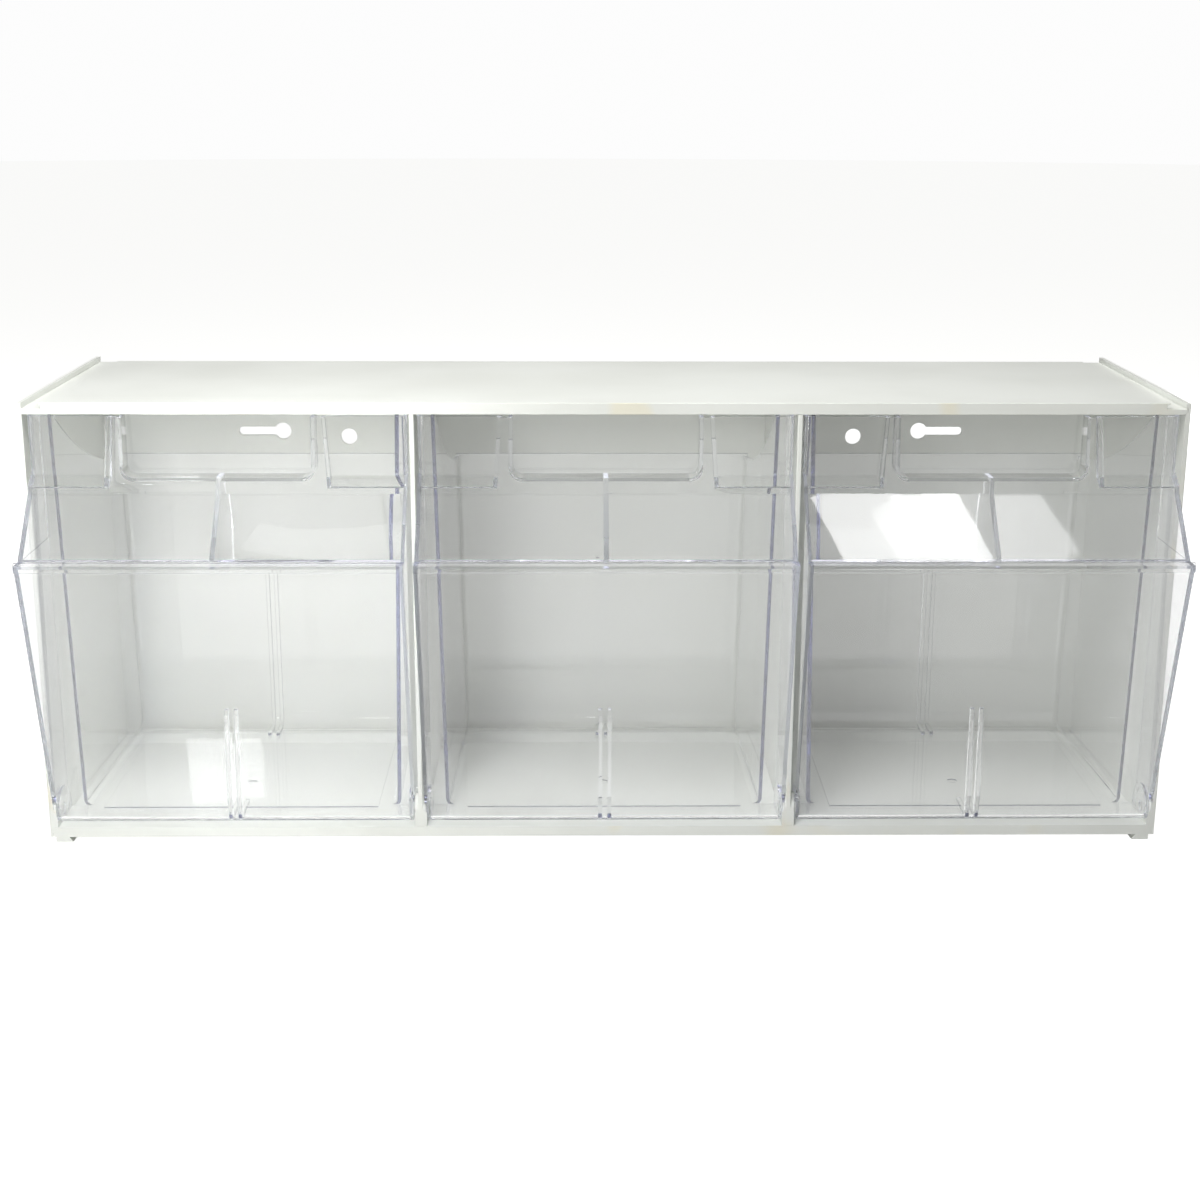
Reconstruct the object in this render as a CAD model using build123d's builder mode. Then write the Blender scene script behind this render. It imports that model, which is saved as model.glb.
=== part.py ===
from build123d import *
import os
from math import sqrt

os.makedirs("parts", exist_ok=True)

# Tilt-out bin organizer: an open white housing of bonded panels with a row of clear bins.
# Each bin is a tub with a hood bonded on its rim, and tips forward on two moulded pins.
# Lengths are millimetres. X runs along the row of bins and Z is up. The front faces -Y.
# The origin is the middle of the box round the whole organizer, on the surface it stands on.
# A depth is measured back from the housing's front plane, a height up from its underside.

# Housing
overall_width = 600.0
housing_depth = 159.0
housing_height = 238.0
bay_count = 3
end_wall = 2.5
partition_wall = 2.5
top_wall = 2.5
base_wall = 2.5
back_wall = 2.5
lip_height = 2.5
top_rim_depth = 2.5
top_rim_height = 6.0
base_rim_depth = 14.0
base_rim_height = 5.5
groove_depth = 1.0
bond = 0.1
edge_radius = 0.5

# Stacking rails under the base, and the dovetail channels that take them in the top
foot_height = 3.0
foot_root = 7.0
foot_tip = 9.0
foot_inset = 0.5
stack_gap = 0.4
stack_seat = 0.1

# Wall fixings in the back panel
screw_hole_spacing = 302.8
screw_hole_diameter = 9.5
screw_hole_height = 190.4
keyhole_spacing = 381.6
keyhole_diameter = 9.8
keyhole_slot = 5.0
keyhole_travel = 23.6
keyhole_height = 193.8

# Pivots: a pad on the wall, a socket in the pad, and a pin on the bin
pivot_depth = 7.0
pivot_height = 14.5
pin_radius = 3.2
pin_clearance = 0.08
pin_end_gap = 0.3
pad_stand = 2.0
pad_gap = 0.5
dish_margin = 3.5
dish_floor = 2.0

# Tub
shell = 2.0
side_gap = 1.3
rear_gap = 10.5
step_depth = 22.0
step_inset_front = 7.0
step_inset_rear = 10.0
step_draft = 3.0
floor_height = 9.0
toe_reach = 2.0
toe_radius = 5.0
heel_radius = 11.0
side_radius = 5.0
nose_reach = 38.0
nose_height = 162.0
nose_lip = 1.5
nose_skirt = 3.5
seat_depth = 8.5
seat_run = 3.5
catch_overlap = 0.55
sweep_gap = 0.7
rest_gap = 0.3
rest_rib = 2.0
corner_radius = 1.5

# Divider slots and the raised floor panel
slot_gap = 3.0
slot_rib = 2.0
slot_stand = 2.5
slot_front_depth = 2.5
slot_front_height = 73.0
slot_front_root = 18.0
slot_rear_height = 118.0
slot_front_foot = 22.0
slot_rear_foot = 15.5
floor_panel_width = 150.0
floor_panel_front = 15.5
floor_panel_raise = 0.6
gate_depth = 51.0
gate_diameter = 5.5
gate_sink = 0.5

# Hood
hood_top_gap = 1.4
band_height = 31.0
band_setback = 3.0
ledge_rise = 4.5
brow_height = 3.5
brow_reach = 4.0
brow_lean = 0.8
block_width_top = 111.0
block_width_bottom = 116.5
pocket_width = 96.0
pocket_depth = 8.5
pocket_radius = 5.0
tab_width = 10.5
tab_spread = 84.0
tab_stand = 0.8
tab_height = 1.4
gusset_thickness = 2.5
gusset_depth = 13.5
gusset_drop = 5.0
cheek_radius = 3.0

# Planes and faces that several pieces share
overall_depth = housing_depth + nose_reach
front_y = nose_reach - overall_depth / 2
inner_width = overall_width - 2 * end_wall
compartment = (inner_width - (bay_count - 1) * partition_wall) / bay_count
pitch = compartment + partition_wall
bay_centres = [(bay - (bay_count - 1) / 2) * pitch for bay in range(bay_count)]
wall_centres = [(bay_centres[bay] + bay_centres[bay + 1]) / 2 for bay in range(bay_count - 1)]
top_face = housing_height - lip_height
top_underside = top_face - top_wall
top_rim_underside = housing_height - top_rim_height
back_inner = housing_depth - back_wall
channel_floor = housing_height - foot_height - stack_seat

# Bin planes, measured from the middle of its own bay
bin_half = compartment / 2 - side_gap
pad_half = compartment / 2 - pad_stand
dish_half = pad_half - pad_gap
socket_depth = pad_stand + min(end_wall, partition_wall) / 2
pin_half = pad_half + socket_depth - pin_end_gap
bin_rear = back_inner - rear_gap
heel_start = bin_rear - heel_radius
catch_radius = top_rim_underside + catch_overlap - pivot_height
sweep_radius = top_rim_underside - sweep_gap - pivot_height
catch_height = pivot_height + sqrt(catch_radius**2 - (bin_rear - pivot_depth) ** 2)
floor_top = floor_height + shell
hood_top = top_rim_underside - hood_top_gap
band_bottom = hood_top - band_height
brow_top = band_bottom - ledge_rise
brow_bottom = brow_top - brow_height
seat_front = seat_depth - nose_reach


def at(depth, height):
    """Place a point of the side profile, given its depth and height, on the YZ plane."""
    return (front_y + depth, foot_height + height)


def plan(x, depth):
    """Place a point of the plan, given its offset along the row and its depth, on XY."""
    return (x, front_y + depth)


def front(x, height):
    """Place a point of a front view, given its offset along the row and its height."""
    return (x, foot_height + height)


def frontal(depth):
    """Return the upright plane at a depth, facing forward, with X and Z kept upright."""
    return Plane(origin=(0, front_y + depth, 0), x_dir=(1, 0, 0), z_dir=(0, -1, 0))


def sideways(x):
    """Return the upright plane square to the row at x, with its local axes along Y and Z."""
    return Plane.YZ.offset(x)


def save(piece, name):
    """Name a finished piece and write it as its own file."""
    piece.label = name
    export_step(piece, f"parts/{name}.step")


def pad_profile(x):
    """Draw the pivot pad of a wall, square to the row at x: a round head on a straight leg."""
    with BuildSketch(sideways(x)) as profile:
        with Locations(at(pivot_depth, pivot_height)):
            Circle(pivot_depth)
        with Locations(at(pivot_depth, base_rim_height + bond)):
            Rectangle(
                2 * pivot_depth,
                pivot_height - base_rim_height - bond,
                align=(Align.CENTER, Align.MIN),
            )
    return profile.sketch


def pivot_circle(x, radius):
    """Draw a circle about the pivot, square to the row at x."""
    with BuildSketch(sideways(x)) as profile:
        with Locations(at(pivot_depth, pivot_height)):
            Circle(radius)
    return profile.sketch


# End walls: full height, with a lip above the top panel and grooves for the panels
end_face = overall_width / 2 - end_wall
with BuildPart() as end_panel:
    with BuildSketch(sideways(end_face)):
        with Locations(at(housing_depth / 2, housing_height / 2)):
            Rectangle(housing_depth, housing_height)
    extrude(amount=end_wall)
    fillet(end_panel.edges().filter_by(Axis.Z).group_by(Axis.X)[-1], edge_radius)
    fillet(end_panel.edges().filter_by(Axis.Y).group_by(Axis.Z)[-1].sort_by(Axis.X)[-1], edge_radius)
    with BuildSketch(sideways(end_face)):
        with Locations(at(housing_depth / 2, (top_face + top_underside) / 2)):
            Rectangle(housing_depth, top_wall)
        with Locations(at(housing_depth / 2, base_wall / 2)):
            Rectangle(housing_depth, base_wall)
        with Locations(at((back_inner + housing_depth) / 2, (top_underside + base_wall) / 2)):
            Rectangle(back_wall, top_underside - base_wall)
    extrude(amount=groove_depth, mode=Mode.SUBTRACT)
    extrude(pad_profile(end_face), amount=-pad_stand)
    extrude(
        pivot_circle(end_face - pad_stand, pin_radius + pin_clearance),
        amount=socket_depth,
        mode=Mode.SUBTRACT,
    )
save(end_panel.part, "right_end_wall")
save(mirror(end_panel.part, about=Plane.YZ), "left_end_wall")

# Partitions: cut back at both rims, tongued into the top, the base and the back
with BuildPart() as partition:
    with BuildSketch(sideways(-partition_wall / 2)):
        with BuildLine():
            Polyline(
                at(0, base_rim_height + bond),
                at(0, top_rim_underside - bond),
                at(top_rim_depth + bond, top_rim_underside - bond),
                at(top_rim_depth + bond, top_underside + groove_depth - bond),
                at(back_inner + groove_depth - bond, top_underside + groove_depth - bond),
                at(back_inner + groove_depth - bond, base_wall - groove_depth + bond),
                at(base_rim_depth + bond, base_wall - groove_depth + bond),
                at(base_rim_depth + bond, base_rim_height + bond),
                close=True,
            )
        make_face()
    extrude(amount=partition_wall)
    fillet(partition.edges().filter_by(Axis.Z).group_by(Axis.Y)[0], edge_radius)
    extrude(pad_profile(0), amount=partition_wall / 2 + pad_stand, both=True)
    extrude(
        pivot_circle(0, pin_radius + pin_clearance),
        amount=partition_wall / 2 + pad_stand,
        both=True,
        mode=Mode.SUBTRACT,
    )
partition_names = ["left_partition", "right_partition"]
for x, name in zip(wall_centres, partition_names):
    save(partition.part.moved(Location((x, 0, 0))), name)


def partition_grooves(height, rim_depth):
    """Draw the grooves that take the partitions' edges behind a rim, on a level plane."""
    with BuildSketch(Plane.XY.offset(foot_height + height)) as profile:
        for x in wall_centres:
            with Locations(plan(x, (rim_depth + back_inner + groove_depth) / 2)):
                Rectangle(partition_wall + 2 * bond, back_inner + groove_depth - rim_depth)
    return profile.sketch


# Top panel: front rim with a dovetail notch at each end, shallow channels behind them
tongue_half = inner_width / 2 + groove_depth - bond
notch_top = inner_width / 2 - foot_inset - foot_root - stack_gap
notch_floor = inner_width / 2 - foot_inset - foot_tip - stack_gap
with BuildPart() as top_panel:
    with BuildSketch(Plane.XY.offset(foot_height + top_underside + bond)):
        with Locations(plan(0, housing_depth / 2)):
            Rectangle(2 * tongue_half, housing_depth)
    extrude(amount=top_wall - 2 * bond)
    with BuildSketch(frontal(0)):
        with BuildLine():
            Polyline(
                front(-inner_width / 2, top_rim_underside),
                front(inner_width / 2, top_rim_underside),
                front(inner_width / 2, channel_floor),
                front(notch_floor, channel_floor),
                front(notch_top, housing_height),
                front(-notch_top, housing_height),
                front(-notch_floor, channel_floor),
                front(-inner_width / 2, channel_floor),
                close=True,
            )
        make_face()
    extrude(amount=-top_rim_depth)
    with BuildSketch(Plane.XY.offset(foot_height + channel_floor)):
        for side in (-1, 1):
            with Locations(plan(side * (inner_width / 2 + notch_floor) / 2, housing_depth / 2)):
                Rectangle(inner_width / 2 - notch_floor, housing_depth)
    extrude(amount=top_wall, mode=Mode.SUBTRACT)
    extrude(
        partition_grooves(top_underside, top_rim_depth),
        amount=groove_depth,
        mode=Mode.SUBTRACT,
    )
save(top_panel.part, "top_panel")

# Base panel: front rim, dovetail foot rails and a rib in each bay that the closed bin rests on
foot_outer = inner_width / 2 - foot_inset
with BuildPart() as base_panel:
    with BuildSketch(Plane.XY.offset(foot_height + bond)):
        with Locations(plan(0, housing_depth / 2)):
            Rectangle(2 * tongue_half, housing_depth)
    extrude(amount=base_wall - 2 * bond)
    with BuildSketch(frontal(0)):
        with Locations(front(0, base_rim_height / 2)):
            Rectangle(inner_width, base_rim_height)
    extrude(amount=-base_rim_depth)
    with BuildSketch(frontal(0)):
        for side in (-1, 1):
            with BuildLine():
                Polyline(
                    front(side * foot_outer, base_wall / 2),
                    front(side * foot_outer, -foot_height),
                    front(side * (foot_outer - foot_tip), -foot_height),
                    front(side * (foot_outer - foot_root), 0),
                    front(side * (foot_outer - foot_root), base_wall / 2),
                    close=True,
                )
            make_face()
    extrude(amount=-housing_depth)
    with BuildSketch(Plane.XY.offset(foot_height + base_wall / 2)):
        for x in bay_centres:
            with Locations(plan(x, heel_start)):
                Rectangle(compartment - 2 * bond, rest_rib, align=(Align.CENTER, Align.MAX))
    extrude(amount=floor_height - rest_gap - base_wall / 2)
    extrude(
        partition_grooves(base_wall, base_rim_depth),
        amount=-groove_depth,
        mode=Mode.SUBTRACT,
    )
save(base_panel.part, "base_panel")

# Back panel: set in from behind, with two screw holes and two sideways keyholes
with BuildPart() as back_panel:
    with BuildSketch(frontal(back_inner + bond)):
        with Locations(front(0, (top_underside + base_wall) / 2)):
            Rectangle(2 * tongue_half, top_underside - base_wall - 2 * bond)
        with Locations([front(side * screw_hole_spacing / 2, screw_hole_height) for side in (-1, 1)]):
            Circle(screw_hole_diameter / 2, mode=Mode.SUBTRACT)
        for side in (-1, 1):
            with Locations(front(side * keyhole_spacing / 2, keyhole_height)):
                Circle(keyhole_diameter / 2, mode=Mode.SUBTRACT)
            with Locations(front(side * (keyhole_spacing + keyhole_travel) / 2, keyhole_height)):
                SlotCenterToCenter(keyhole_travel, keyhole_slot, mode=Mode.SUBTRACT)
    extrude(amount=-(back_wall - bond))
    with BuildSketch(frontal(back_inner + bond)):
        for x in wall_centres:
            with Locations(front(x, (top_underside + base_wall) / 2)):
                Rectangle(partition_wall + 2 * bond, top_underside - base_wall)
    extrude(amount=-groove_depth, mode=Mode.SUBTRACT)
save(back_panel.part, "back_panel")

# Tub: a tray that flares forward to its nose and steps in behind the front plane
inner_rear = bin_rear - shell
half_step = bin_half - step_inset_front
half_rear = bin_half - step_inset_rear
skirt_height = nose_height - nose_skirt
slope_run = (nose_lip - nose_reach + toe_reach) / (skirt_height - floor_height)
panel_shift = shell * sqrt(1 + slope_run**2)
foot_top = floor_top + slot_stand
dish_radius = pivot_depth + dish_margin
boss_half = dish_half - dish_floor
above = housing_height + shell


def panel_depth(height):
    """Return the depth of the front panel's outer face at a height."""
    return slope_run * (height - floor_height) - toe_reach


def sweep_height(depth):
    """Return the height at a depth of the arc that clears the top rim as the bin tips."""
    return pivot_height + sqrt(sweep_radius**2 - (depth - pivot_depth) ** 2)


def bin_body(inset, rear):
    """Build the bin's plan as a tall body, set in all round by inset.

    It is wide in front of the step and tapered behind it, and the walls behind the step draw in
    downward, for the mould.
    """
    step = step_depth - inset
    with BuildPart() as body:
        for height in (0, above):
            draft = step_draft * (1 - height / nose_height)
            front_half = half_step - draft - inset
            rear_half = half_rear - draft - inset
            with BuildSketch(Plane.XY.offset(foot_height + height)):
                with BuildLine():
                    Polyline(
                        plan(inset - bin_half, -nose_reach),
                        plan(bin_half - inset, -nose_reach),
                        plan(bin_half - inset, step),
                        plan(front_half, step),
                        plan(rear_half, rear),
                        plan(-rear_half, rear),
                        plan(-front_half, step),
                        plan(inset - bin_half, step),
                        close=True,
                    )
                make_face()
        loft()
    return body.part


def side_edges(body):
    """Pick the lower edges of a body's two side walls behind the step, the longest along Y."""
    lowest = body.edges().group_by(Axis.Z)[0]
    return lowest.sort_by(lambda edge: edge.bounding_box().size.Y)[-2:]


def dish_profile(x, radius):
    """Draw the pivot dish, square to the row at x: a round head, open down and forward."""
    with BuildSketch(sideways(x)) as profile:
        with Locations(at(pivot_depth, pivot_height)):
            Circle(radius)
        with BuildLine():
            Polyline(
                at(-nose_reach, pivot_height),
                at(-nose_reach, floor_height - shell),
                at(pivot_depth + radius, floor_height - shell),
                at(pivot_depth + radius, pivot_height),
                close=True,
            )
        make_face()
    return profile.sketch


# Room inside the tub, with what stands in it left out
room_body = bin_body(shell, inner_rear)
with BuildPart() as tub_room:
    with BuildSketch(Plane.YZ):
        with BuildLine():
            Polyline(
                at(panel_depth(floor_top) + panel_shift, floor_top),
                at(panel_depth(above) + panel_shift, above),
                at(inner_rear, above),
                at(inner_rear, floor_top),
                close=True,
            )
        make_face()
    extrude(amount=bin_half, both=True)
    add(room_body, mode=Mode.INTERSECT)
    fillet(
        tub_room.edges().filter_by(Axis.X).group_by(Axis.Z)[0].sort_by(Axis.Y)[0],
        max(toe_radius - shell, corner_radius),
    )
    fillet(
        tub_room.edges().filter_by(Axis.X).group_by(Axis.Z)[0].sort_by(Axis.Y)[-1],
        max(heel_radius - shell, corner_radius),
    )
    fillet(side_edges(tub_room), max(side_radius - shell, corner_radius))
    # Bosses behind the pivot dishes
    for side in (-1, 1):
        extrude(
            dish_profile(side * bin_half, dish_radius + shell),
            amount=-side * (bin_half - boss_half),
            mode=Mode.SUBTRACT,
        )
    # Divider slots: a pair of ribs up the front panel and a pair up the rear wall, all with feet
    for side in (-1, 1):
        with BuildSketch(sideways(side * (slot_gap + slot_rib) / 2)):
            with BuildLine():
                Polyline(
                    at(-nose_reach, floor_height),
                    at(panel_depth(slot_front_root), slot_front_root),
                    at(slot_front_depth - slot_stand, slot_front_height),
                    at(slot_front_depth, slot_front_height),
                    at(slot_front_depth, foot_top),
                    at(slot_front_foot, foot_top),
                    at(slot_front_foot, floor_height),
                    close=True,
                )
            make_face()
            with BuildLine():
                Polyline(
                    at(bin_rear, floor_height),
                    at(bin_rear, slot_rear_height),
                    at(inner_rear - slot_stand, slot_rear_height),
                    at(inner_rear - slot_stand, foot_top),
                    at(inner_rear - slot_stand - slot_rear_foot, foot_top),
                    at(inner_rear - slot_stand - slot_rear_foot, floor_height),
                    close=True,
                )
            make_face()
        extrude(amount=slot_rib / 2, both=True, mode=Mode.SUBTRACT)
    # Raised floor panel
    with BuildSketch(Plane.XY.offset(foot_height + floor_height)):
        with Locations(plan(0, floor_panel_front)):
            Rectangle(
                floor_panel_width,
                heel_start - floor_panel_front,
                align=(Align.CENTER, Align.MIN),
            )
    extrude(amount=shell + floor_panel_raise, mode=Mode.SUBTRACT)
    # Sunk disc where the mould was filled
    with BuildSketch(Plane.XY.offset(foot_height + floor_top + floor_panel_raise)):
        with Locations(plan(0, gate_depth)):
            Circle(gate_diameter / 2)
    extrude(amount=-gate_sink)

outer_body = bin_body(0, bin_rear)
with BuildPart() as tub:
    with BuildSketch(Plane.YZ):
        with BuildLine():
            Polyline(
                at(step_depth - shell, sweep_height(step_depth - shell)),
                at(step_depth - shell, nose_height),
                at(panel_depth(nose_height), nose_height),
                at(-toe_reach, floor_height),
                at(bin_rear, floor_height),
                at(bin_rear, sweep_height(bin_rear)),
            )
            RadiusArc(
                at(bin_rear, sweep_height(bin_rear)),
                at(step_depth - shell, sweep_height(step_depth - shell)),
                sweep_radius,
            )
        make_face()
    extrude(amount=bin_half, both=True)
    add(outer_body, mode=Mode.INTERSECT)
    fillet(tub.edges().filter_by(Axis.X).group_by(Axis.Z)[0].sort_by(Axis.Y)[0], toe_radius)
    fillet(tub.edges().filter_by(Axis.X).group_by(Axis.Z)[0].sort_by(Axis.Y)[-1], heel_radius)
    fillet(side_edges(tub), side_radius)
    # Nose: a seat for the hood, with a lip above it and a skirt below it in front
    with BuildSketch(Plane.YZ):
        with BuildLine():
            Polyline(
                at(-nose_reach, skirt_height),
                at(-nose_reach, nose_height + nose_lip),
                at(nose_lip - nose_reach, nose_height + nose_lip),
                at(nose_lip - nose_reach, nose_height),
                at(seat_front + seat_run, nose_height),
                at(seat_front + seat_run, nose_height - shell),
                at(nose_lip - nose_reach, skirt_height),
                close=True,
            )
        make_face()
    extrude(amount=bin_half, both=True)
    # Catch: the rear wall's top edge, which meets the housing's top rim at full tilt
    with BuildSketch(Plane.YZ):
        with BuildLine():
            Polyline(
                at(inner_rear, sweep_height(bin_rear) - shell),
                at(inner_rear, catch_height),
                at(bin_rear, catch_height),
                at(bin_rear, sweep_height(bin_rear) - shell),
                close=True,
            )
        make_face()
    extrude(amount=half_rear, both=True)
    add(tub_room.part, mode=Mode.SUBTRACT)
    # Nose flange, which the room's cut opened
    with BuildSketch(Plane.YZ):
        with Locations(at(seat_front + seat_run, nose_height)):
            Rectangle(seat_run + seat_depth - nose_lip, shell, align=(Align.MAX, Align.MAX))
    extrude(amount=bin_half, both=True)
    # Pivot dishes and pins
    for side in (-1, 1):
        extrude(
            dish_profile(side * dish_half, dish_radius),
            amount=side * (bin_half - dish_half),
            mode=Mode.SUBTRACT,
        )
        extrude(pivot_circle(side * boss_half, pin_radius), amount=side * (pin_half - boss_half))

# Room inside the hood, open below, behind and above, round the finger pocket's back
hood_rear = step_depth - shell - bond
hood_foot = nose_height + bond
hood_slope = (brow_bottom - nose_height) / (-brow_reach - seat_front)
spare = 2 * shell
brow_line = [
    at(-brow_reach, brow_bottom),
    at(brow_lean - brow_reach, brow_top),
    at(band_setback, band_bottom),
]


def pocket_profile(depth, grow):
    """Draw the finger pocket on the upright plane at a depth, grown all round by a wall."""
    half = pocket_width / 2 + grow
    with BuildSketch(frontal(depth)) as profile:
        with Locations(front(0, band_bottom - grow)):
            Rectangle(2 * half, above - band_bottom + grow, align=(Align.CENTER, Align.MIN))
        fillet(profile.vertices().group_by(Axis.Z)[0], pocket_radius + grow)
    return profile.sketch


def block_profile(inset, rise):
    """Draw the label block from in front, set in by a wall and carried on upward by rise."""
    flare = (block_width_bottom - block_width_top) / 2 / (hood_top - brow_bottom)
    top_half = block_width_top / 2 - inset - flare * rise
    bottom_half = block_width_bottom / 2 - inset
    with BuildSketch(frontal(-nose_reach)) as profile:
        with BuildLine():
            Polyline(
                front(-bottom_half, brow_bottom),
                front(bottom_half, brow_bottom),
                front(top_half, hood_top + rise),
                front(-top_half, hood_top + rise),
                close=True,
            )
        make_face()
    return profile.sketch


with BuildPart() as label_block:
    with BuildSketch(Plane.YZ):
        with BuildLine():
            Polyline(
                at(-brow_reach, brow_bottom),
                at(0, hood_top),
                at(band_setback + shell, hood_top),
                at(band_setback + shell, brow_bottom),
                close=True,
            )
        make_face()
    extrude(amount=block_width_bottom, both=True)
    extrude(block_profile(0, spare), amount=-(nose_reach + step_depth), mode=Mode.INTERSECT)

with BuildPart() as block_room:
    with BuildSketch(Plane.YZ):
        with BuildLine():
            Polyline(
                at(shell - brow_reach, brow_bottom),
                at(shell, hood_top),
                at(shell, hood_top + spare),
                at(step_depth, hood_top + spare),
                at(step_depth, brow_bottom),
                close=True,
            )
        make_face()
    extrude(amount=block_width_bottom, both=True)
    extrude(block_profile(shell, spare), amount=-(nose_reach + step_depth), mode=Mode.INTERSECT)

with BuildPart() as hood_room:
    with BuildSketch(Plane.YZ):
        with BuildLine():
            Polyline(
                at(seat_front - spare, nose_height - spare * hood_slope),
                *brow_line,
                at(band_setback, hood_top + 2 * spare),
                at(step_depth + spare, hood_top + 2 * spare),
                at(step_depth + spare, nose_height - spare * hood_slope),
                close=True,
            )
        make_face()
        offset(amount=-shell, kind=Kind.INTERSECTION, mode=Mode.REPLACE)
    extrude(amount=bin_half - shell, both=True)
    add(block_room.part)
    extrude(
        pocket_profile(-nose_reach, shell),
        amount=-(nose_reach + pocket_depth + shell),
        mode=Mode.SUBTRACT,
    )

# Hood: a slanted face with a brow and an upright band over it, and a cheek at each side
with BuildPart() as hood:
    with BuildSketch(Plane.YZ):
        with BuildLine():
            Polyline(
                at(seat_front, hood_foot),
                *brow_line,
                at(band_setback, hood_top),
                at(hood_rear, hood_top),
                at(hood_rear, hood_foot),
                close=True,
            )
        make_face()
    extrude(amount=bin_half, both=True)
    fillet(hood.edges().filter_by(Axis.Z).group_by(Axis.Y)[0], cheek_radius)
    add(label_block.part)
    add(hood_room.part, mode=Mode.SUBTRACT)
    extrude(
        pocket_profile(-nose_reach, 0),
        amount=-(nose_reach + pocket_depth),
        mode=Mode.SUBTRACT,
    )
    # Small tabs at the foot of the label block
    with BuildSketch(frontal(-brow_reach - tab_stand)):
        for side in (-1, 1):
            with Locations(front(side * tab_spread / 2, brow_bottom)):
                Rectangle(tab_width, tab_height, align=(Align.CENTER, Align.MIN))
    extrude(amount=-(tab_stand + shell / 2))
    # Gusset
    with BuildSketch(Plane.YZ):
        with BuildLine():
            Polyline(
                at(shell - brow_reach, band_bottom - shell / 2),
                at(pocket_depth + shell, band_bottom - shell / 2),
                at(gusset_depth, nose_height - gusset_drop),
                at(seat_front + seat_run, hood_foot),
                at(seat_front + shell, hood_foot),
                at(shell - brow_reach, brow_bottom),
                close=True,
            )
        make_face()
    extrude(amount=gusset_thickness / 2, both=True)

bin_names = ["left", "middle", "right"]
for x, name in zip(bay_centres, bin_names):
    save(tub.part.moved(Location((x, 0, 0))), f"{name}_tub")
    save(hood.part.moved(Location((x, 0, 0))), f"{name}_hood")
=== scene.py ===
"""Studio scene of a tilt-out bin organizer: a white housing with a row of clear tipping bins.

Every length is in metres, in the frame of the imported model: X runs along the row of bins, the
bins open towards -Y, and Z is up from the surface that the organizer stands on.
"""

import logging
import math
from dataclasses import dataclass, field
from enum import Enum
from typing import Any

import bpy
import numpy as np
from mathutils import Matrix

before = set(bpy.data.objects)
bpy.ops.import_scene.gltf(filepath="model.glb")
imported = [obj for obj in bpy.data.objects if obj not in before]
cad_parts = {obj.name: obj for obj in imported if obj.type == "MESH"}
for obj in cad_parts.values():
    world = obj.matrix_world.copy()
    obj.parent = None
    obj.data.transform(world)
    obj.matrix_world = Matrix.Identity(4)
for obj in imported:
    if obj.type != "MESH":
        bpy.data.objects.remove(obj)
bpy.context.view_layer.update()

MM = 0.001
LOG = logging.getLogger("bin_organizer")

Socket = bpy.types.NodeSocket
Node = bpy.types.Node


class Bay(Enum):
    """The three bays of the housing, with the side each lies on."""

    LEFT = "left"
    MIDDLE = "middle"
    RIGHT = "right"


def linear(hex_code: str) -> tuple[float, float, float, float]:
    """Turn an sRGB hex colour into linear light.

    Args:
        hex_code: Six hex digits, two for each of red, green and blue.

    Returns:
        The linear red, green and blue values, and an alpha of 1.
    """
    values = np.array([int(hex_code[i : i + 2], 16) for i in (0, 2, 4)]) / 255.0
    low = values / 12.92
    high = ((values + 0.055) / 1.055) ** 2.4
    red, green, blue = np.where(values <= 0.04045, low, high)
    return float(red), float(green), float(blue), 1.0


def add_node(
    tree: bpy.types.NodeTree,
    kind: str,
    settings: dict[str, Any] | None = None,
    inputs: dict[str | int, Any] | None = None,
) -> Node:
    """Add a node with its settings, and set or link its inputs.

    Args:
        tree: The node tree that gets the node.
        kind: The node's type name.
        settings: Properties of the node itself.
        inputs: For each input, by name or number, a value or the output that feeds it.

    Returns:
        The new node.
    """
    node = tree.nodes.new(kind)
    for name, value in (settings or {}).items():
        setattr(node, name, value)
    for key, value in (inputs or {}).items():
        if isinstance(value, bpy.types.NodeSocket):
            tree.links.new(value, node.inputs[key])
        else:
            node.inputs[key].default_value = value
    return node


def ramp(tree: bpy.types.NodeTree, factor: Socket, stops: list[tuple[float, str]]) -> Socket:
    """Add a colour ramp over a factor.

    Args:
        tree: The node tree that gets the ramp.
        factor: The output that drives it.
        stops: Positions from 0 to 1 in rising order, each with an sRGB hex colour.

    Returns:
        The ramp's colour output.
    """
    node = add_node(tree, "ShaderNodeValToRGB", inputs={"Fac": factor})
    bar = node.color_ramp
    while len(bar.elements) < len(stops):
        bar.elements.new(1.0)
    for element, (position, hex_code) in zip(bar.elements, stops):
        element.position = position
        element.color = linear(hex_code)
    return node.outputs["Color"]


def spread(tree: bpy.types.NodeTree, factor: Socket, low: float, high: float) -> Socket:
    """Map a factor of 0 to 1 onto a range of values.

    Args:
        tree: The node tree that gets the node.
        factor: The output that drives it.
        low: The value at a factor of 0.
        high: The value at a factor of 1.

    Returns:
        The mapped output.
    """
    node = add_node(
        tree,
        "ShaderNodeMapRange",
        inputs={"Value": factor, "To Min": low, "To Max": high},
    )
    return node.outputs["Result"]


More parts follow.
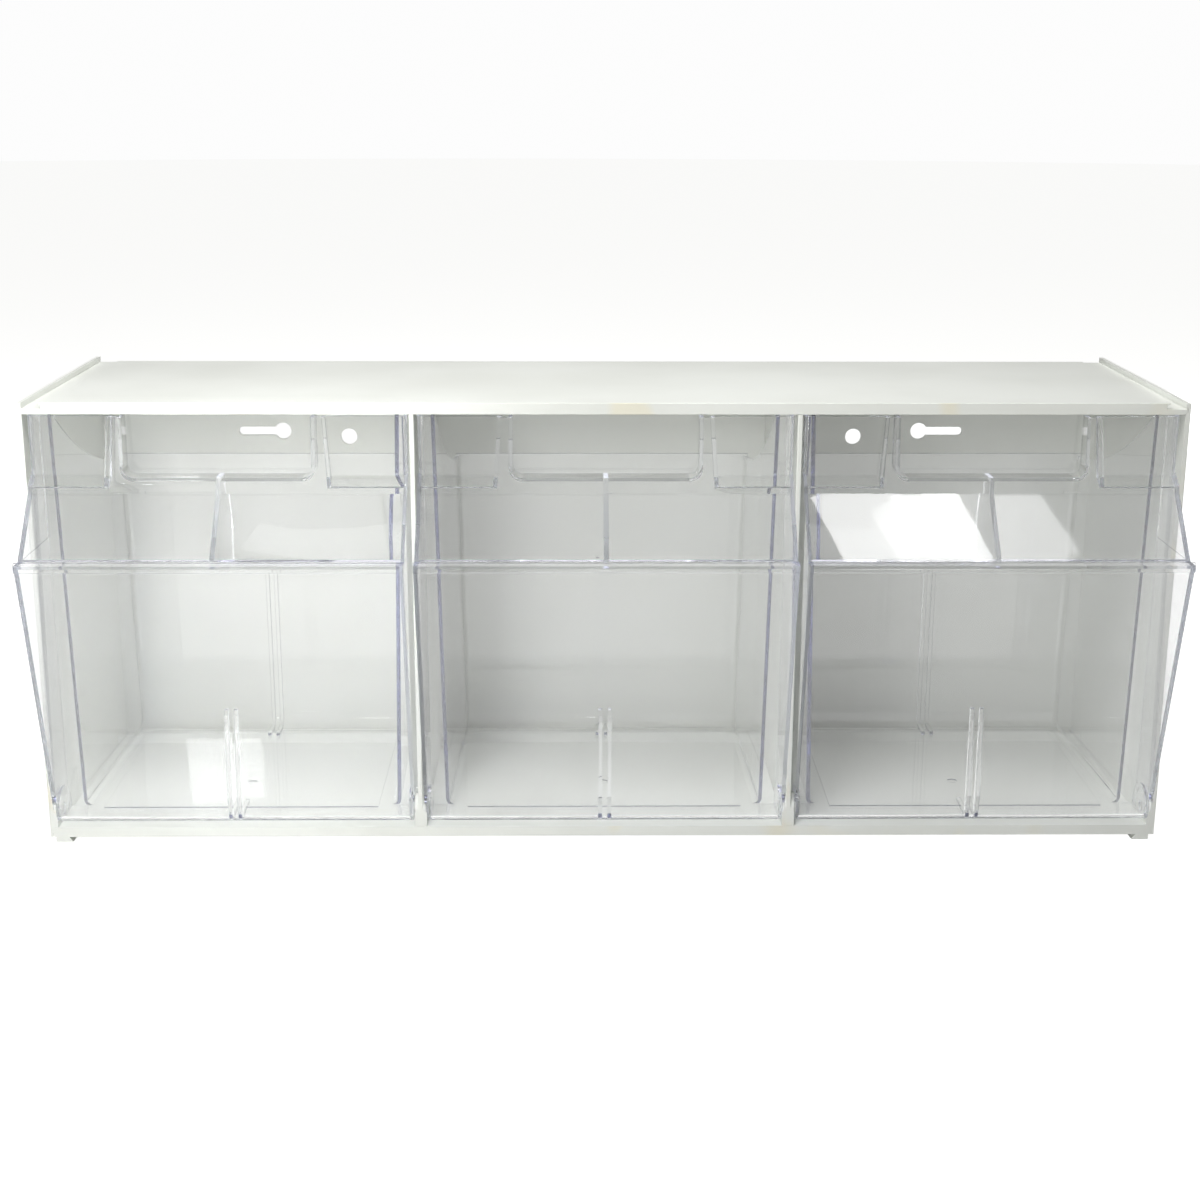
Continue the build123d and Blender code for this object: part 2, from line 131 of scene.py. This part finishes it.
def looked_at(tree: bpy.types.NodeTree, mirrored: float) -> Socket:
    """Tell a look at a surface from light that it sends out.

    A look is straight, or through clear plastic, or by way of a reflection.

    Args:
        tree: The node tree that gets the nodes.
        mirrored: The output's value for a look by way of a reflection.

    Returns:
        An output that is 1 for the other two kinds of look, and 0 for all other rays.
    """
    rays = add_node(tree, "ShaderNodeLightPath")
    straight = add_node(
        tree,
        "ShaderNodeMath",
        settings={"operation": "MAXIMUM"},
        inputs={0: rays.outputs["Is Camera Ray"], 1: rays.outputs["Is Transmission Ray"]},
    )
    glance = add_node(
        tree,
        "ShaderNodeMath",
        settings={"operation": "MULTIPLY"},
        inputs={0: rays.outputs["Is Glossy Ray"], 1: mirrored},
    )
    either = add_node(
        tree,
        "ShaderNodeMath",
        settings={"operation": "MAXIMUM"},
        inputs={0: straight.outputs["Value"], 1: glance.outputs["Value"]},
    )
    return either.outputs["Value"]


def new_material(name: str) -> tuple[bpy.types.Material, bpy.types.NodeTree, Node]:
    """Make an empty node material.

    Args:
        name: The material's name.

    Returns:
        The material, its cleared node tree and a new output node.
    """
    material = bpy.data.materials.new(name)
    material.use_nodes = True
    tree = material.node_tree
    tree.nodes.clear()
    return material, tree, add_node(tree, "ShaderNodeOutputMaterial")


@dataclass(frozen=True)
class MouldedWhiteStyrene:
    """High-impact polystyrene, injection moulded in a satin tool.

    The rubber in it makes it opaque and a warm, faintly green off-white. The tool's fine spark
    texture breaks up reflections, and the melt's flow leaves slow changes of gloss and shade.
    The texture's real pitch, about 0.1 mm, is too fine to show, so the grain is drawn coarser.
    """

    body: str = "EBEDE7"
    shade: str = "E4E6DF"
    aged: str = "EAE3C8"
    flow: float = 90 * MM
    flow_edge: tuple[float, float] = (0.30, 0.62)
    grain: float = 0.6 * MM
    grain_height: float = 0.0015 * MM
    stain: float = 34 * MM
    stain_edge: tuple[float, float] = (0.60, 0.72)
    stain_depth: float = 0.55
    front_plane: tuple[float, float] = (-60.4 * MM, -59.5 * MM)
    smooth: float = 0.30
    rough: float = 0.42
    ior: float = 1.59

    def build(self) -> bpy.types.Material:
        """Build the material.

        Returns:
            The finished material.
        """
        material, tree, output = new_material("moulded_high_impact_polystyrene_white")
        place = add_node(tree, "ShaderNodeTexCoord").outputs["Object"]
        flow = add_node(
            tree,
            "ShaderNodeTexNoise",
            inputs={"Vector": place, "Scale": 1 / self.flow, "Detail": 3.0, "Roughness": 0.55},
        ).outputs["Fac"]
        grain = add_node(
            tree,
            "ShaderNodeTexNoise",
            inputs={"Vector": place, "Scale": 1 / self.grain, "Detail": 2.0, "Roughness": 0.6},
        ).outputs["Fac"]
        low, high = self.flow_edge
        base = ramp(tree, flow, [(low, self.shade), (high, self.body)])
        surface = add_node(
            tree,
            "ShaderNodeBsdfPrincipled",
            inputs={
                "Base Color": self.with_stains(tree, place, base),
                "Roughness": spread(tree, flow, self.smooth, self.rough),
                "IOR": self.ior,
                "Normal": add_node(
                    tree,
                    "ShaderNodeBump",
                    inputs={"Height": grain, "Distance": self.grain_height, "Strength": 1.0},
                ).outputs["Normal"],
            },
        )
        tree.links.new(surface.outputs["BSDF"], output.inputs["Surface"])
        return material

    def with_stains(self, tree: bpy.types.NodeTree, place: Socket, base: Socket) -> Socket:
        """Yellow the plastic faintly in a few patches, as old tape and glue leave it on the rims.

        Args:
            tree: The material's node tree.
            place: The position in the frame.
            base: The unstained colour.

        Returns:
            The stained colour.
        """
        blotch = add_node(
            tree,
            "ShaderNodeTexNoise",
            inputs={"Vector": place, "Scale": 1 / self.stain, "Detail": 1.0, "Roughness": 0.4},
        ).outputs["Fac"]
        patches = add_node(
            tree,
            "ShaderNodeMapRange",
            settings={"interpolation_type": "SMOOTHSTEP"},
            inputs={
                "Value": blotch,
                "From Min": self.stain_edge[0],
                "From Max": self.stain_edge[1],
                "To Min": 0.0,
                "To Max": self.stain_depth,
            },
        ).outputs["Result"]
        depth = add_node(tree, "ShaderNodeSeparateXYZ", inputs={"Vector": place}).outputs["Y"]
        front = add_node(
            tree,
            "ShaderNodeMapRange",
            settings={"interpolation_type": "SMOOTHSTEP"},
            inputs={
                "Value": depth,
                "From Min": self.front_plane[0],
                "From Max": self.front_plane[1],
                "To Min": 1.0,
                "To Max": 0.0,
            },
        ).outputs["Result"]
        share = add_node(
            tree, "ShaderNodeMath", settings={"operation": "MULTIPLY"}, inputs={0: patches, 1: front}
        ).outputs["Value"]
        mix = add_node(
            tree,
            "ShaderNodeMix",
            settings={"data_type": "RGBA"},
            inputs={"Factor": share, 6: base, 7: linear(self.aged)},
        )
        return mix.outputs[2]


@dataclass(frozen=True)
class MouldedClearStyrene:
    """Crystal polystyrene, injection moulded in a polished tool.

    It is clear, with a high index that gives bright reflections and strong edges. A trace of blue
    toner, which hides its own yellow, shows as lavender where the eye looks along a wall. The
    faces are not quite flat: the melt's flow leaves slow ripples, and handling leaves faint haze.
    """

    body: str = "FEFEFE"
    toner: str = "BCC4F8"
    toner_density: float = 6.5
    ripple: float = 42 * MM
    ripple_height: float = 0.035 * MM
    haze: float = 25 * MM
    clean: float = 0.010
    hazy: float = 0.035
    lamp_share: str = "FFFFFF"
    clearness: float = 0.97
    ior: float = 1.59

    def build(self) -> bpy.types.Material:
        """Build the material.

        Returns:
            The finished material.
        """
        material, tree, output = new_material("moulded_crystal_polystyrene_clear")
        place = add_node(tree, "ShaderNodeTexCoord").outputs["Object"]
        ripple = add_node(
            tree,
            "ShaderNodeTexNoise",
            inputs={"Vector": place, "Scale": 1 / self.ripple, "Detail": 1.5, "Roughness": 0.45},
        ).outputs["Fac"]
        haze = add_node(
            tree,
            "ShaderNodeTexNoise",
            inputs={"Vector": place, "Scale": 1 / self.haze, "Detail": 3.0, "Roughness": 0.6},
        ).outputs["Fac"]
        glass = add_node(
            tree,
            "ShaderNodeBsdfPrincipled",
            inputs={
                "Base Color": linear(self.body),
                "Transmission Weight": self.clearness,
                "IOR": self.ior,
                "Roughness": spread(tree, haze, self.clean, self.hazy),
                "Normal": add_node(
                    tree,
                    "ShaderNodeBump",
                    inputs={"Height": ripple, "Distance": self.ripple_height, "Strength": 1.0},
                ).outputs["Normal"],
            },
        ).outputs["BSDF"]
        rays = add_node(tree, "ShaderNodeLightPath")
        lamp_rays = add_node(
            tree,
            "ShaderNodeMath",
            settings={"operation": "MAXIMUM"},
            inputs={0: rays.outputs["Is Shadow Ray"], 1: rays.outputs["Is Diffuse Ray"]},
        ).outputs["Value"]
        lets_through = add_node(
            tree, "ShaderNodeBsdfTransparent", inputs={"Color": linear(self.lamp_share)}
        ).outputs["BSDF"]
        mixed = add_node(
            tree, "ShaderNodeMixShader", inputs={"Fac": lamp_rays, 1: glass, 2: lets_through}
        )
        tree.links.new(mixed.outputs["Shader"], output.inputs["Surface"])
        tint = add_node(
            tree,
            "ShaderNodeVolumeAbsorption",
            inputs={"Color": linear(self.toner), "Density": self.toner_density},
        )
        tree.links.new(tint.outputs["Volume"], output.inputs["Volume"])
        return material


@dataclass(frozen=True)
class StudioPaper:
    """Seamless studio paper, matt and nearly white, with a faint tooth, lit from behind.

    Attributes:
        sheet: The paper's colour.
        glow: The strength of its light to look at.
        fill: The strength of its light on other things.
        mirrored: Share of the step from fill to glow that a reflection shows.
        tooth: The size of the paper's tooth, in metres.
        matt: Lowest and highest roughness.
        gloss: How much it reflects at the surface.
    """

    sheet: str = "CBCBCA"
    glow: float = 1.52
    fill: float = 0.10
    mirrored: float = 0.2
    tooth: float = 1.5 * MM
    matt: tuple[float, float] = (0.85, 0.95)
    gloss: float = 0.2

    def build(self) -> bpy.types.Material:
        """Build the material.

        Returns:
            The finished material.
        """
        material, tree, output = new_material("studio_paper_white")
        place = add_node(tree, "ShaderNodeTexCoord").outputs["Object"]
        tooth = add_node(
            tree, "ShaderNodeTexNoise", inputs={"Vector": place, "Scale": 1 / self.tooth}
        ).outputs["Fac"]
        surface = add_node(
            tree,
            "ShaderNodeBsdfPrincipled",
            inputs={
                "Base Color": linear(self.sheet),
                "Roughness": spread(tree, tooth, *self.matt),
                "Specular IOR Level": self.gloss,
                "Emission Color": linear(self.sheet),
                "Emission Strength": spread(
                    tree, looked_at(tree, self.mirrored), self.fill, self.glow
                ),
            },
        )
        tree.links.new(surface.outputs["BSDF"], output.inputs["Surface"])
        return material


WELD_REACH = 0.002 * MM
FLAT_TURN = math.radians(0.5)
SHARP_TURN = math.radians(28)


def soften(piece: bpy.types.Object, radius: float) -> None:
    """Round a node's sharp edges as a mould does, with live modifiers.

    The loose triangles are joined, flat areas are merged to one face each, and every edge that
    turns by more than the limit gets a narrow rounded strip.

    Args:
        piece: The node's object.
        radius: The width of the rounding, in metres.
    """
    weld = piece.modifiers.new("joined", "WELD")
    weld.merge_threshold = WELD_REACH
    merge = piece.modifiers.new("flats", "DECIMATE")
    merge.decimate_type = "DISSOLVE"
    merge.angle_limit = FLAT_TURN
    edge = piece.modifiers.new("edges", "BEVEL")
    edge.width = radius
    edge.segments = 2
    edge.limit_method = "ANGLE"
    edge.angle_limit = SHARP_TURN
    edge.use_clamp_overlap = True


@dataclass
class Housing:
    """The white housing: end walls, partitions, top, base and back."""

    body: str = "housing"
    edge: float = 0.35 * MM
    panels: tuple[str, ...] = (
        "left_end_wall",
        "right_end_wall",
        "left_partition",
        "right_partition",
        "top_panel",
        "base_panel",
        "back_panel",
    )

    def build(self, finish: bpy.types.Material) -> None:
        """Dress the housing's panels.

        Args:
            finish: The housing's material.
        """
        for name in self.panels:
            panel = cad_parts[name]
            dress(panel, finish)
            soften(panel, self.edge)
            LOG.info("housing panel %s dressed", name)


@dataclass
class TippingBin:
    """One clear bin: the tub and the hood on its nose."""

    bay: Bay
    edge: float = 0.5 * MM

    def build(self, finish: bpy.types.Material) -> None:
        """Dress the bin's two mouldings.

        Args:
            finish: The bin's material.
        """
        for part in ("tub", "hood"):
            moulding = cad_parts[f"{self.bay.value}_{part}"]
            dress(moulding, finish)
            soften(moulding, self.edge)
            LOG.info("bin moulding %s dressed", moulding.name)


def dress(piece: bpy.types.Object, finish: bpy.types.Material) -> None:
    """Give a node one finish.

    Args:
        piece: The node's object.
        finish: The material.
    """
    piece.data.materials.clear()
    piece.data.materials.append(finish)


@dataclass
class PhotoCamera:
    """The camera that took the reference view, found by fitting the housing's corners.

    Attributes:
        position: Where it stands, in metres.
        yaw: Turn to the right from straight ahead, in radians.
        pitch: Tilt downward, in radians.
        roll: Roll clockwise, in radians.
        focal: Focal length in pixels of the 1200 by 1200 picture.
        centre: Pixel that the optical axis passes through.
        size: Width and height of that picture, in pixels.
        sensor: Width of the sensor that the lens is given for, in millimetres.
        near: Nearest depth that shows, in metres.
        far: Furthest depth that shows, in metres.
    """

    position: tuple[float, float, float] = (-0.01556, -0.96299, 0.39889)
    yaw: float = 0.014
    pitch: float = 0.260
    roll: float = -0.003
    focal: float = 1790.35
    centre: tuple[float, float] = (600.0, 558.93)
    size: float = 1200.0
    sensor: float = 36.0
    near: float = 0.05
    far: float = 50.0

    def axes(self) -> np.ndarray:
        """Work out the camera's axes.

        The view direction is turned by the yaw about Z and dipped by the pitch. The level right
        direction is square to it, and the roll turns right and down about the view direction.

        Returns:
            A 3 by 3 array whose columns are right, up and backward.
        """
        ahead = np.array(
            [
                math.sin(self.yaw) * math.cos(self.pitch),
                math.cos(self.yaw) * math.cos(self.pitch),
                -math.sin(self.pitch),
            ]
        )
        level = np.array([math.cos(self.yaw), -math.sin(self.yaw), 0.0])
        below = np.cross(ahead, level)
        right = math.cos(self.roll) * level + math.sin(self.roll) * below
        down = -math.sin(self.roll) * level + math.cos(self.roll) * below
        return np.column_stack([right, -down, -ahead])

    def build(self) -> bpy.types.Object:
        """Make the camera and make it the scene's own.

        Returns:
            The camera object.
        """
        lens = bpy.data.cameras.new("photo_camera")
        lens.sensor_fit = "HORIZONTAL"
        lens.sensor_width = self.sensor
        lens.lens = self.focal / self.size * self.sensor
        lens.shift_x = (self.size / 2 - self.centre[0]) / self.size
        lens.shift_y = (self.centre[1] - self.size / 2) / self.size
        lens.clip_start = self.near
        lens.clip_end = self.far
        camera = bpy.data.objects.new("photo_camera", lens)
        turn = Matrix(self.axes().tolist()).to_4x4()
        camera.matrix_world = Matrix.Translation(self.position) @ turn
        bpy.context.scene.collection.objects.link(camera)
        bpy.context.scene.camera = camera
        return camera


@dataclass
class Softbox:
    """A rectangular studio light.

    Attributes:
        name: The light's name.
        position: Where its middle is, in metres.
        target: The point that it faces.
        width: Its width, in metres.
        height: Its height, in metres.
        power: Its power, in watts.
        beam: The full angle that it shines into, in degrees, as a grid over it narrows it.
        mirrored: Whether glossy faces mirror it. A lamp that stands for wide, soft light doesn't.
    """

    name: str
    position: tuple[float, float, float]
    target: tuple[float, float, float]
    width: float
    height: float
    power: float
    beam: float = 180.0
    mirrored: bool = True

    def build(self) -> bpy.types.Object:
        """Make the light, facing its target.

        Returns:
            The light object.
        """
        lamp = bpy.data.lights.new(self.name, "AREA")
        lamp.shape = "RECTANGLE"
        lamp.size = self.width
        lamp.size_y = self.height
        lamp.energy = self.power
        lamp.spread = math.radians(self.beam)
        light = bpy.data.objects.new(self.name, lamp)
        light.visible_camera = False
        light.visible_transmission = self.mirrored
        light.visible_glossy = self.mirrored
        back = np.array(self.position) - np.array(self.target)
        back /= np.linalg.norm(back)
        right = np.cross([0.0, 0.0, 1.0], back)
        right /= np.linalg.norm(right)
        turn = Matrix(np.column_stack([right, np.cross(back, right), back]).tolist()).to_4x4()
        light.matrix_world = Matrix.Translation(self.position) @ turn
        bpy.context.scene.collection.objects.link(light)
        return light


@dataclass
class Studio:
    """The paper floor, the lights and the white surround.

    The lamps that glossy faces mirror give the patch in the left bin and the bright patches on the
    right bin's slanted face. The others stand for wide, soft light.

    Attributes:
        radius: The floor's radius, in metres.
        rings: Rings of points in the floor.
        spokes: Points in each ring.
        hub: Ring share of the innermost ring.
        surround: The surround's colour.
        surround_fill: Its strength as a source of light.
        surround_glow: Its strength to look at.
        mirrored: Share of the step from fill to glow that a reflection shows.
        bounces: Most turns that a ray takes, enough for the long ways inside the clear walls.
        lights: The lamps.
    """

    radius: float = 9.0
    rings: int = 24
    spokes: int = 96
    hub: float = 0.02
    surround: str = "FFFFFF"
    surround_fill: float = 0.05
    surround_glow: float = 0.98
    mirrored: float = 0.25
    bounces: int = 24
    lights: list[Softbox] = field(
        default_factory=lambda: [
            Softbox(
                "key_softbox", position=(-0.39, -0.96, 0.42), target=(-0.1, 0.0, 0.1),
                width=0.3, height=0.3, power=2.2, mirrored=False,
            ),
            Softbox(
                "low_softbox", position=(-0.45, -0.96, 0.45), target=(-0.15, 0.0, 0.1),
                width=0.09, height=0.09, power=0.4,
            ),
            Softbox(
                "overhead_softbox", position=(0.0, 0.35, 1.6), target=(0.0, 0.0, 0.1),
                width=1.6, height=1.0, power=7.0,
            ),
            Softbox(
                "highlight_softbox", position=(0.335, -0.46, 1.1), target=(0.1, -0.05, 0.15),
                width=0.14, height=0.16, power=0.6,
            ),
            Softbox(
                "fading_softbox", position=(0.41, -0.46, 1.1), target=(0.1, -0.05, 0.15),
                width=0.16, height=0.16, power=0.2,
            ),
            Softbox(
                "steep_softbox", position=(-0.08, -0.35, 0.9), target=(-0.05, 0.0, 0.1),
                width=0.3, height=0.3, power=5.5, mirrored=False,
            ),
            Softbox(
                "side_softbox", position=(-0.9, -1.2, 0.35), target=(0.0, 0.0, 0.1),
                width=0.4, height=0.4, power=1.95, mirrored=False,
            ),
            Softbox(
                "gridded_softbox", position=(-0.3, -0.6, 0.62), target=(-0.2, 0.0, 0.06),
                width=0.15, height=0.15, power=0.09, beam=34.0, mirrored=False,
            ),
            Softbox(
                "upward_softbox", position=(-0.36, -0.96, 0.2), target=(-0.2, 0.09, 0.2),
                width=0.15, height=0.15, power=0.09, beam=24.0, mirrored=False,
            ),
            Softbox(
                "rear_softbox", position=(0.9, 1.3, 0.3), target=(0.1, 0.0, 0.1),
                width=0.5, height=0.5, power=4.0, mirrored=False,
            ),
        ]
    )

    def floor(self, finish: bpy.types.Material) -> bpy.types.Object:
        """Make the floor as a flat disc.

        A point at ring share r and angle a lies at radius R r squared, so that the rings close up
        towards the middle, where the organizer stands.

        Args:
            finish: The floor's material.

        Returns:
            The floor object.
        """
        share, angle = np.meshgrid(
            np.linspace(self.hub, 1.0, self.rings),
            np.linspace(0.0, 2 * math.pi, self.spokes, endpoint=False),
            indexing="ij",
        )
        radius = self.radius * share**2
        points = np.stack(
            [radius * np.cos(angle), radius * np.sin(angle), np.zeros_like(radius)], axis=-1
        ).reshape(-1, 3)
        ring, spoke = np.meshgrid(
            np.arange(self.rings - 1), np.arange(self.spokes), indexing="ij"
        )
        along = (spoke + 1) % self.spokes
        quads = np.stack(
            [
                ring * self.spokes + spoke,
                (ring + 1) * self.spokes + spoke,
                (ring + 1) * self.spokes + along,
                ring * self.spokes + along,
            ],
            axis=-1,
        ).reshape(-1, 4)
        mesh = bpy.data.meshes.new("studio_floor")
        faces = [list(range(self.spokes)), *quads.tolist()]
        mesh.from_pydata(points.tolist(), [], faces)
        mesh.update()
        sheet = bpy.data.objects.new("studio_floor", mesh)
        bpy.context.scene.collection.objects.link(sheet)
        dress(sheet, finish)
        return sheet

    def light_surround(self, tree: bpy.types.NodeTree) -> None:
        """Make the surround white to look at, dimmer in a reflection and dimmest as a lamp.

        Args:
            tree: The world's node tree.
        """
        sky = tree.nodes["Background"]
        sky.inputs["Color"].default_value = linear(self.surround)
        look = looked_at(tree, self.mirrored)
        strength = spread(tree, look, self.surround_fill, self.surround_glow)
        tree.links.new(strength, sky.inputs["Strength"])

    def build(self) -> None:
        """Make the floor, the surround and the lights."""
        self.floor(StudioPaper().build())
        world = bpy.data.worlds.new("studio")
        world.use_nodes = True
        self.light_surround(world.node_tree)
        bpy.context.scene.world = world
        for light in self.lights:
            light.build()
            LOG.info("light %s made", light.name)
        scene = bpy.context.scene
        scene.view_settings.view_transform = "Standard"
        scene.cycles.max_bounces = self.bounces
        scene.cycles.transmission_bounces = self.bounces
        scene.cycles.glossy_bounces = self.bounces
        scene.cycles.transparent_max_bounces = 2 * self.bounces


def main() -> None:
    """Build the scene: camera, studio, housing and bins."""
    logging.basicConfig(level=logging.INFO, format="%(name)s: %(message)s")
    PhotoCamera().build()
    Studio().build()
    Housing().build(MouldedWhiteStyrene().build())
    clear = MouldedClearStyrene().build()
    for bay in Bay:
        TippingBin(bay).build(clear)


if __name__ == "__main__":
    main()
